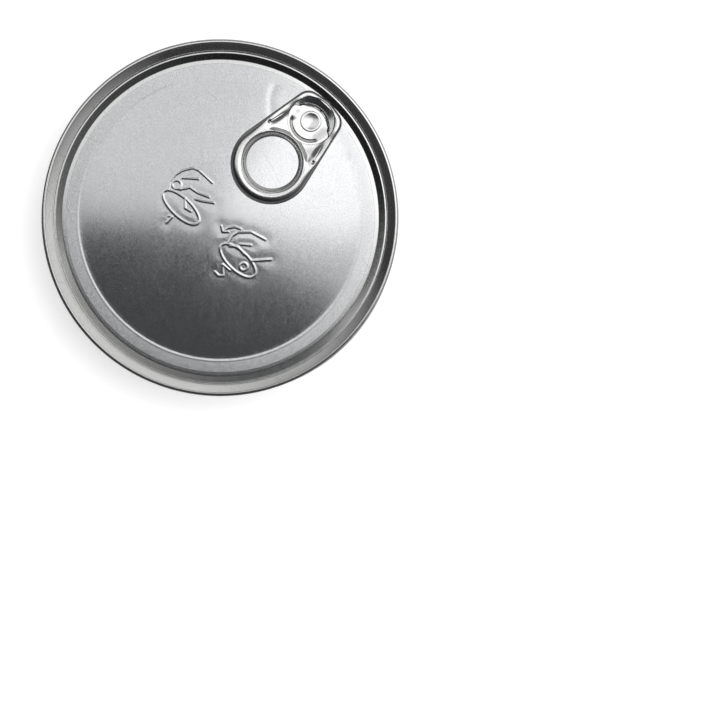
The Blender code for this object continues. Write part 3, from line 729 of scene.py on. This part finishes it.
def tab_heights(x, y, edge):
    """Top and underside of the tab from the distances to its edge, finger hole and window.
    The top is a rolled edge, a ring with two crests and a shallow valley, a lower web that
    dips to the rivet's window, and slits along the sides."""
    hole = np.hypot(x - HOLE_CENTRE, y) - HOLE_RADIUS
    window = np.hypot(x - RIVET_X, y) - WINDOW_RADIUS
    crest = TAB_BASE + TAB_TALL
    web = TAB_BASE + 1.12 * MM
    in_web = smoothstep(20.5 * MM, 22.8 * MM, x) * smoothstep(0.9 * MM, 2.6 * MM, edge)
    in_web *= smoothstep(1.0 * MM, 1.9 * MM, hole)
    level = crest + (web - crest) * in_web
    near = 1 - smoothstep(0.1 * MM, 3.0 * MM, window)
    level = level - 0.24 * MM * near * (1 - smoothstep(RIVET_X - 1 * MM, RIVET_X + 2.5 * MM, x))
    valley = np.exp(-((edge - 2.15 * MM) / (0.30 * MM)) ** 2)
    level = level - 0.05 * MM * valley * (1 - smoothstep(18 * MM, 21 * MM, x))
    roll = 1.65 * MM - 1.10 * MM * smoothstep(17 * MM, 24 * MM, x)
    top = EDGE_LEVEL + (level - EDGE_LEVEL) * dome(edge, roll)
    inner = TAB_BASE + 0.15 * MM
    slope = 1 - (1 - np.clip(hole / (1.10 * MM), 0, 1)) ** 1.35
    top = np.minimum(top, inner + (level - inner) * slope + 1e-9)
    rim_of_window = 1 - dome(np.abs(window), 0.30 * MM)
    nose_side = smoothstep(RIVET_X - 1.0 * MM, RIVET_X + 1.0 * MM, x)
    top = top - 0.20 * MM * rim_of_window * (0.15 + 0.85 * nose_side)
    slit_line = np.abs(np.abs(y) - (6.4 * MM - (x - 22.2 * MM) * 0.26))
    slit = np.exp(-(slit_line / (0.10 * MM)) ** 2) * 0.2
    slit *= smoothstep(22.0 * MM, 22.3 * MM, x) * (1 - smoothstep(25.0 * MM, 26.2 * MM, x))
    dot = np.exp(-(np.hypot(x - 22.2 * MM, np.abs(y) - 6.4 * MM) / (0.30 * MM)) ** 2)
    top = top - 0.20 * MM * np.maximum(slit, 0.8 * dot)
    under_round = 0.45 * MM * (1 - dome(edge, 0.6 * MM))
    hole_round = 0.18 * MM * (1 - dome(hole, 0.35 * MM))
    recess = smoothstep(1.5 * MM, 2.1 * MM, edge) * smoothstep(0.9 * MM, 1.4 * MM, hole)
    ring_part = 1 - smoothstep(19.0 * MM, 21.0 * MM, x)
    lift = 0.45 * MM * recess * (1 - ring_part)
    low = TAB_BASE + np.maximum(under_round, hole_round) + lift
    return top, np.minimum(low, top - 0.04 * MM)


def fan_rows(first, last, head, tail, head_rows, middle_rows, tail_rows):
    """Rows between two closed lines: some at fixed distances near the first line, some near
    the last, closer together at the edges, and the rest spread evenly between."""
    way = last - first
    length = np.linalg.norm(way, axis=1)
    share = 1 - np.cos(np.linspace(0, np.pi / 2, head_rows))
    near = share[:, None] * head / length[None, :]
    share = 1 - np.cos(np.linspace(0, np.pi / 2, tail_rows))
    far = 1 - (share[:, None] * tail / length[None, :])[::-1]
    step = np.linspace(0, 1, middle_rows + 2)[1:-1, None]
    middle = near[-1:] + step * (far[:1] - near[-1:])
    shares = np.vstack([near, middle, far])
    return first[None] + shares[:, :, None] * way[None]


def make_tab():
    """The pull tab. A fan of lines runs from its outline to the finger hole, each place is
    lifted to the tab's top, and the underside comes back along the same fan; the round window
    is then cut through with a turned plug."""
    columns = 360
    outline = tab_outline(columns)
    turn = np.unwrap(np.arctan2(outline[:, 1], outline[:, 0] - HOLE_CENTRE))
    hole = np.stack([HOLE_CENTRE + HOLE_RADIUS * np.cos(turn), HOLE_RADIUS * np.sin(turn)], axis=1)
    top_rows = fan_rows(outline, hole, 1.25 * MM, 1.15 * MM, 16, 46, 14)
    low_rows = fan_rows(outline, hole, 0.6 * MM, 0.5 * MM, 6, 22, 5)[::-1]
    around = np.vstack([outline, outline[:1]])
    edge_top = line_distance(top_rows[..., 0], top_rows[..., 1], around)
    edge_low = line_distance(low_rows[..., 0], low_rows[..., 1], around)
    edge_top[0], edge_low[-1] = 0.0, 0.0
    top = tab_heights(top_rows[..., 0], top_rows[..., 1], edge_top)[0]
    low = tab_heights(low_rows[..., 0], low_rows[..., 1], edge_low)[1]
    upper = np.concatenate([top_rows, top[..., None]], axis=-1)
    lower = np.concatenate([low_rows, low[..., None]], axis=-1)
    upper[0, :, 2] = EDGE_LEVEL
    lower = lower[:-1]
    rows = len(upper) + len(lower)
    places = np.vstack([upper.reshape(-1, 3), lower.reshape(-1, 3)])
    item = make_mesh("pull_tab_fine", places, ring_quads(rows, columns, True), None, None,
                     TAB_STEEL, sharp=50)
    face_outwards(item)
    plug = revolve("window_plug", np.array([
        (0.0, TAB_BASE - 2 * MM), (WINDOW_RADIUS, TAB_BASE - 2 * MM),
        (WINDOW_RADIUS, TAB_BASE + 4 * MM), (0.0, TAB_BASE + 4 * MM)]), 96, None, None,
        (RIVET_X, 0.0))
    cut_through(item, plug)
    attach(item, "tab")
    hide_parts("pull_tab")


def cut_through(item, plug):
    """Take the plug out of the piece and keep the result as its plain mesh."""
    hole = item.modifiers.new("window", "BOOLEAN")
    hole.operation = "DIFFERENCE"
    hole.solver = "EXACT"
    hole.object = plug
    bpy.context.view_layer.update()
    done = bpy.data.meshes.new_from_object(item.evaluated_get(
        bpy.context.evaluated_depsgraph_get()))
    item.modifiers.clear()
    old = item.data
    item.data = done
    done.name = item.name
    bpy.data.meshes.remove(old)
    bpy.data.objects.remove(plug)
    done.shade_smooth()
    done.set_sharp_from_angle(angle=math.radians(40))


def island_reach(turn):
    """Outline of the island round the rivet: full on the tab's side, and cut back towards
    the nose by the crescent, from 2.9 mm on the axis to 3.9 mm at the crescent's ends."""
    away = np.abs(np.angle(np.exp(1j * turn)))
    crescent = 2.95 * MM + 0.95 * MM * np.clip(away / math.radians(72), 0, 1) ** 2
    share = smoothstep(math.radians(74), math.radians(92), away)
    return crescent + (4.95 * MM - crescent) * share


def make_island():
    """The tongue that the rivet holds: rings from the rivet's hole out to the island's
    outline, with the pressed hinge line as a groove on the ring's side and a rounded rim.
    It bends where it meets the tab."""
    columns = 192
    turn = 2 * np.pi * np.arange(columns) / columns
    reach = island_reach(turn)
    bore = 1.62 * MM
    shares = np.concatenate([np.linspace(0, 0.97, 34), [0.985, 1.0]])
    radius = bore + shares[:, None] * (reach[None, :] - bore)
    away = np.abs(np.angle(np.exp(1j * turn)))[None, :]
    walled = smoothstep(math.radians(112), math.radians(132), away)
    base = TONGUE_LOW.z + ISLAND_LIFT
    sheet = TONGUE_HIGH.z - TONGUE_LOW.z
    web_rise = TAB_BASE + 0.86 * MM - base - sheet
    gentle = smoothstep(2.5 * MM, 4.7 * MM, radius) * smoothstep(
        math.radians(58), math.radians(92), away)
    steep = smoothstep(4.00 * MM, 4.65 * MM, radius)
    rise = web_rise * (gentle + (steep - gentle) * walled)
    groove = np.exp(-((radius - 4.15 * MM) / (0.16 * MM)) ** 2) * walled * 0.4
    rim = (1 - dome(reach[None, :] - radius, 0.28 * MM)) * (
        1 - smoothstep(math.radians(50), math.radians(70), away))
    top = base + sheet + rise - 0.26 * MM * groove - 0.12 * MM * rim
    low = base + rise * 0.8 - 0.05 * MM * groove
    low = np.minimum(low, top - 0.05 * MM)
    x, y = RIVET_X + radius * np.cos(turn), radius * np.sin(turn)
    upper = np.stack([x, y, top], axis=-1)
    lower = np.stack([x, y, low], axis=-1)[::-1]
    places = np.vstack([upper.reshape(-1, 3), lower.reshape(-1, 3)])
    item = make_mesh("rivet_island", places, ring_quads(2 * len(shares), columns, True), None,
                     None, TAB_STEEL, sharp=50)
    face_outwards(item)
    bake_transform(item)
    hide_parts("rivet_tongue")


def make_rivet():
    """The button: foot, waist and a low domed head with a rolled edge and a faint dimple."""
    low, high = RIVET_LOW.z, RIVET_HIGH.z
    head = TONGUE_HIGH.z + ISLAND_LIFT + 0.10 * MM
    corners = [
        (0.0, low, 0.0), (2.5 * MM, low, 0.05 * MM), (1.5 * MM, TONGUE_LOW.z - 0.05 * MM, 0.1 * MM),
        (1.5 * MM, head, 0.03 * MM), (2.28 * MM, head, 0.14 * MM),
        (2.24 * MM, high - 0.06 * MM, 0.14 * MM), (1.98 * MM, high - 0.01 * MM, 0.2 * MM)]
    path = rounded_path(corners, 8)
    across = np.linspace(1.85, 0.0, 12) * MM
    dish = high - 0.03 * MM - 0.16 * MM * (1 - (across / (1.85 * MM)) ** 2)
    path = np.vstack([path[:-1], np.stack([across, dish], axis=1)])
    item = revolve("rivet_fine", path, 72, None, TAB_STEEL, centre=(RIVET_X, 0.0))
    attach(item, "lid")
    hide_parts("rivet")


# ---------------------------------------------------------------- the nuts

NUT_ARC_RADIUS = 7.1 * MM
NUT_ARC_ANGLE = math.radians(158)
NUT_END_RADIUS = 3.1 * MM
NUT_BELLY_RADIUS = 4.9 * MM
NUT_COLUMNS = 40
NUT_ROWS = 46


def nut_radius(share):
    """Radius along the nut: a full belly nearer one end, and two round ends."""
    belly = np.sin(np.pi * np.clip(share, 0, 1) ** 0.85) ** 0.6
    return NUT_END_RADIUS + (NUT_BELLY_RADIUS - NUT_END_RADIUS) * belly


def nut_surface(seed, rows=NUT_ROWS, columns=NUT_COLUMNS):
    """A cashew round its own origin, hollow towards +X: circles of the nut's radius are
    carried along its bent line and shrink to a point past each end as a half ellipse. The
    section is flattened, a crease runs along the hollow side, and long wrinkles, dents and a
    fine unevenness are laid over it. Also gives how deep in the crease each place lies, which
    the material turns into painted shade."""
    draw = np.random.default_rng(seed)
    bend = NUT_ARC_ANGLE * draw.uniform(0.93, 1.03)
    thin = draw.uniform(0.86, 0.97)
    sharp_end = draw.uniform(0.72, 0.92)
    turn = np.linspace(0, np.pi, rows)[1:-1]
    share = 0.5 - 0.5 * np.cos(turn)
    share = share * 0.5 + 0.5 * turn / np.pi
    along = np.clip(share * 1.30 - 0.15, -0.15, 1.15)
    held = np.clip(along, 0, 1)
    past = np.abs(along - held) / 0.15
    cap = np.sqrt(np.clip(1 - past ** 2, 0, 1))
    angle = np.pi + (held - 0.5) * bend
    radius = nut_radius(held) * 0.955
    radius = radius * (1 - (1 - sharp_end) * smoothstep(0.55, 1.0, held))
    forward = np.sign(along - held) * past * radius * 0.92
    line = np.stack([NUT_ARC_RADIUS * (np.cos(angle) + 0.65), NUT_ARC_RADIUS * np.sin(angle),
                     angle * 0], axis=-1)
    tangent = np.stack([-np.sin(angle), np.cos(angle), angle * 0], axis=-1)
    line = line + tangent * forward[:, None]
    outward = np.stack([np.cos(angle), np.sin(angle), angle * 0], axis=-1)
    around = 2 * np.pi * np.arange(columns) / columns
    hollow = np.abs(np.angle(np.exp(1j * (around - np.pi))))
    offset = (outward[:, None, :] * np.cos(around)[None, :, None]
              + np.array([0, 0, 1.0]) * np.sin(around)[None, :, None] * thin)
    swell = radius[:, None] * cap[:, None] * np.ones_like(around)[None, :]
    places = line[:, None, :] + offset * swell[..., None]
    crease = np.exp(-(hollow / 0.20) ** 2)[None, :] * (0.35 + 0.65 * cap[:, None])
    ripple = np.sin(around[None, :] * 5 + 2.2 * np.sin(along[:, None] * 6 + seed) + seed)
    ripple = ripple * wave_noise(places, 6.5 * MM, seed + 1, 8)
    dents = wave_noise(places, 9.0 * MM, seed + 2, 10)
    small = wave_noise(places, 2.2 * MM, seed + 3, 14)
    swell = swell * (1 - 0.12 * crease + 0.020 * ripple + 0.030 * dents + 0.010 * small)
    places = line[:, None, :] + offset * swell[..., None]
    ends = [0, -1]
    ahead = (radius[ends] * 0.035)[:, None] * np.array([[-1], [1]])
    tips = line[ends] + tangent[ends] * ahead
    flat = np.vstack([places.reshape(-1, 3), tips])
    # how deep in the crease, for the material's painted crease shade; the two tips get 0.4
    depth = crease * smoothstep(0.1, 0.5, cap)[:, None]
    depth = np.concatenate([depth.reshape(-1), [0.4, 0.4]])
    count = len(places)
    quads = ring_quads(count, columns)
    tris = np.vstack([cap_fan(0, columns, count * columns, True),
                      cap_fan((count - 1) * columns, columns, count * columns + 1)])
    return flat, quads, tris, depth


def add_values(item, name, values):
    """A float per vertex that the material reads."""
    attribute = item.data.attributes.new(name, "FLOAT", "POINT")
    attribute.data.foreach_set("value", np.asarray(values, np.float32))


def nut_frame(node):
    """Where a packed nut lies: the axes of its surface's spread, each turned the right way
    round. The hollow is on the side where the surface reaches further past its centre of
    area, and the thick end is where the spread leans."""
    places, (a, b, c) = triangles(node.data)
    area = np.linalg.norm(np.cross(b - a, c - a), axis=1) / 2
    middle = (a + b + c) / 3
    centre = (middle * area[:, None]).sum(axis=0) / area.sum()
    spread = ((middle - centre) * area[:, None]).T @ (middle - centre)
    hollow, long = np.linalg.eigh(spread)[1].T[1:]
    reach = (places - centre) @ hollow
    if reach.max() + reach.min() < 0:
        hollow = -hollow
    lean = float((((middle - centre) @ long) * area * np.linalg.norm(
        (middle - centre) - np.outer((middle - centre) @ long, long), axis=1)).sum())
    if lean > 0:
        long = -long
    thick = np.cross(hollow, long)
    axes = np.stack([hollow, long, thick], axis=1)
    local = places @ axes
    return axes, local.min(axis=0), local.max(axis=0)


def make_nuts():
    """A cashew for every packed one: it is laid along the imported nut's axes and scaled to
    its length, then moved so that the two boxes share their middle."""
    for number, name in enumerate(sorted(n for n in NODES if n.startswith("cashew_"))):
        axes, low, high = nut_frame(NODES[name])
        flat, quads, tris, depth = nut_surface(number * 17 + 3)
        size = (high[1] - low[1]) / (flat[:, 1].max() - flat[:, 1].min())
        flat = flat * size
        flat = flat + (low + high) / 2 - (flat.min(axis=0) + flat.max(axis=0)) / 2
        item = make_mesh(name.replace("cashew", "cashew_nut"), flat @ axes.T, quads, tris, "can",
                         CASHEW, sharp=180)
        face_outwards(item)
        # painted shade in the crease, set by its depth
        add_values(item, "crease", depth)
        tone = np.random.default_rng(number + 400).uniform(0, 1)
        add_values(item, "own_tone", np.full(len(flat), tone))
        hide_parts(name)


def make_lower_nuts():
    """The full layers under the loose nuts: rings of cashews lying on their sides in two
    layers inside the block that stands for them, all one piece."""
    low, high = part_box("lower_cashews")
    radius = high.x
    draw = np.random.default_rng(77)
    parts, quads, tris, crease_shades, tones = [], [], [], [], []
    start = 0
    rings = ((0.0, 1, 0.0), (13.2, 5, 0.3), (27.0, 10, 0.1))
    for layer in range(2):
        for ring, count, shift in rings:
            for step in range(count):
                turn = 2 * math.pi * (step + shift + 0.5 * layer) / count
                flat, quad, tri, depth = nut_surface(900 + start, 22, 20)
                facing = turn + math.pi / 2 * draw.uniform(0.5, 1.5) + math.pi * layer
                size = draw.uniform(0.90, 0.98)
                spin = np.array(Matrix.Rotation(facing, 3, "Z"))
                flat = flat * size @ spin.T
                flat = flat - (flat.min(axis=0) + flat.max(axis=0)) / 2
                centre = np.array([ring * MM * math.cos(turn), ring * MM * math.sin(turn), 0.0])
                flat = flat + centre
                reach = np.hypot(flat[:, 0], flat[:, 1]).max()
                if reach > radius - 0.2 * MM and ring > 0:
                    flat = flat - centre / np.linalg.norm(centre) * (reach - radius + 0.2 * MM)
                bottom = low.z + 0.1 * MM if layer == 0 else high.z - 0.1 * MM - (
                    flat[:, 2].max() - flat[:, 2].min())
                flat[:, 2] += bottom - flat[:, 2].min()
                offset = sum(len(part) for part in parts)
                parts.append(flat)
                quads.append(quad + offset)
                tris.append(tri + offset)
                crease_shades.append(depth)
                tones.append(np.full(len(flat), draw.uniform(0, 1)))
                start += 1
    item = make_mesh("lower_cashew_layers", np.vstack(parts), np.vstack(quads), np.vstack(tris),
                     "can", CASHEW, sharp=180)
    face_outwards(item)
    # painted shade in the crease, set by its depth
    add_values(item, "crease", np.concatenate(crease_shades))
    add_values(item, "own_tone", np.concatenate(tones))
    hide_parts("lower_cashews")


# ---------------------------------------------------------------- studio

def make_floor():
    """A wide sheet of paper: a square grid, flat, level with the can's foot."""
    side = np.linspace(-6.0, 6.0, 13)
    x, y = np.meshgrid(side, side, indexing="ij")
    places = np.stack([x, y, x * 0], axis=-1).reshape(-1, 3)
    count = len(side)
    row, column = np.meshgrid(np.arange(count - 1), np.arange(count - 1), indexing="ij")
    corner = row * count + column
    quads = np.stack([corner, corner + count, corner + count + 1, corner + 1], axis=-1)
    floor = make_mesh("paper_floor", places, quads.reshape(-1, 4), None, None,
                      make_floor_material())


def area_lamp(name, shape, wide, tall, energy):
    """An area lamp that the camera doesn't see."""
    data = bpy.data.lights.new(name, "AREA")
    data.shape = shape
    data.size, data.size_y = wide, tall
    data.energy = energy
    item = bpy.data.objects.new(name, data)
    bpy.context.scene.collection.objects.link(item)
    item.visible_camera = False
    return item

def soft_box(name, corner, spin, wide, tall, height, radiance):
    """A level soft box over the can, for what the metal mirrors. The corner is the place of
    its lower left corner along the view's right and up, spin turns it about that corner, and
    its power is radiance times area times pi."""
    item = area_lamp(name, "RECTANGLE", wide, tall, radiance * wide * tall * math.pi)
    turn = math.radians(spin)
    right = VIEW_RIGHT * math.cos(turn) + VIEW_UP * math.sin(turn)
    up = VIEW_UP * math.cos(turn) - VIEW_RIGHT * math.sin(turn)
    place = VIEW_RIGHT * corner[0] + VIEW_UP * corner[1] + right * wide / 2 + up * tall / 2
    place = place + Vector((0, 0, CAN_TOP + height))
    item.matrix_world = Matrix.Translation(place) @ Matrix(
        (right, up, Vector((0, 0, 1)))).transposed().to_4x4()
    item.visible_diffuse = False

LAMP_HEIGHT = 1.5
LAMP_SIZE = 0.42

def make_lights():
    """Two soft boxes that the metal mirrors, and a high round lamp, a little off to the upper
    right, that lights the paper and the nuts."""
    soft_box("broad_softbox", (-0.135, 0.010), -4, 0.235, 0.098, 0.25, 0.82)
    soft_box("right_softbox", (-0.006, -0.002), -27, 0.125, 0.125, 0.24, 0.64)
    lamp = area_lamp("overhead_lamp", "DISK", LAMP_SIZE, LAMP_SIZE,
                     0.95 * math.pi ** 2 * LAMP_HEIGHT ** 2)
    lamp.location = VIEW_RIGHT * 0.10 + VIEW_UP * 0.03 + Vector((0, 0, LAMP_HEIGHT))
    lamp.rotation_euler = (-lamp.location).to_track_quat("-Z", "Y").to_euler()
    lamp.visible_glossy = False

def make_world():
    """A pale room to look at and for soft light. What the metal mirrors of it is darker: mid
    grey near the floor to nearly black overhead, darker still to the lower left, and with a
    bright low band to the upper right."""
    world = bpy.data.worlds.new("pale_room")
    bpy.context.scene.world = world
    world.use_nodes = True
    graph = Graph(world.node_tree)
    background = world.node_tree.nodes["Background"]
    way = graph.node("ShaderNodeTexCoord").outputs["Generated"]
    height = graph.node("ShaderNodeSeparateXYZ", {"Vector": way}).outputs["Z"]
    side = towards_light(graph, way)
    mirrored = graph.ramp(height, [
        (0.0, (0.66, 0.66, 0.66)), (0.24, (0.30, 0.30, 0.30)), (0.58, (0.128, 0.129, 0.132)),
        (1.0, (0.122, 0.125, 0.131))])
    low = graph.times(graph.span(height, 0.20, 0.30, 0.0, 1.0),
                      graph.span(height, 0.50, 0.68, 1.0, 0.0))
    shade = graph.math("MAXIMUM", graph.span(side, -0.45, 0.25, 0.10, 1.00),
                       graph.times(low, 0.55))
    mirrored = graph.mix(shade, (0.0, 0.0, 0.0, 1.0), mirrored)
    glow = graph.times(graph.span(side, 0.35, 0.75, 0.0, 1.0),
                       graph.span(height, -0.05, 0.15, 0.0, 1.0))
    bright = graph.ramp(height, [(0.20, (0.78, 0.78, 0.77)), (0.45, (0.40, 0.40, 0.395))])
    mirrored = graph.mix(glow, mirrored, bright)
    path = graph.node("ShaderNodeLightPath")
    lit = graph.mix(path.outputs["Is Glossy Ray"], (0.22, 0.22, 0.22, 1.0), mirrored)
    shown = graph.mix(path.outputs["Is Camera Ray"], lit, (0.93, 0.93, 0.93, 1.0))
    graph.link(shown, background.inputs["Color"])
    background.inputs["Strength"].default_value = 1.0

LENS = 400.0
SENSOR_WIDTH = 36.0
FRAME_WIDTH = 152.4 * MM
FRAME_RIGHT = 29.17 * MM        # middle of the frame, to the right of the can's middle
FRAME_DOWN = 29.70 * MM         # and below it

def make_camera():
    """Straight down through a long lens, with the can up and to the left of the middle."""
    data = bpy.data.cameras.new("top_view")
    data.lens, data.sensor_width = LENS, SENSOR_WIDTH
    data.clip_start, data.clip_end = 0.1, 60.0
    camera = bpy.data.objects.new("top_view", data)
    bpy.context.scene.collection.objects.link(camera)
    distance = FRAME_WIDTH * LENS / SENSOR_WIDTH
    place = VIEW_RIGHT * FRAME_RIGHT - VIEW_UP * FRAME_DOWN + Vector((0, 0, CAN_TOP + distance))
    camera.matrix_world = Matrix.Translation(place) @ Matrix(
        (VIEW_RIGHT, VIEW_UP, Vector((0, 0, 1)))).transposed().to_4x4()
    bpy.context.scene.camera = camera
    bpy.context.scene.view_settings.view_transform = "Standard"


make_camera()
make_body()
make_top_ring()
make_bottom_end()
for compound_node in ("top_seam_compound", "bottom_seam_compound"):
    NODES[compound_node].data.materials.clear()
    NODES[compound_node].data.materials.append(COMPOUND)
make_panel()
make_tab()
make_island()
make_rivet()
make_nuts()
make_lower_nuts()
make_floor()
make_lights()
make_world()
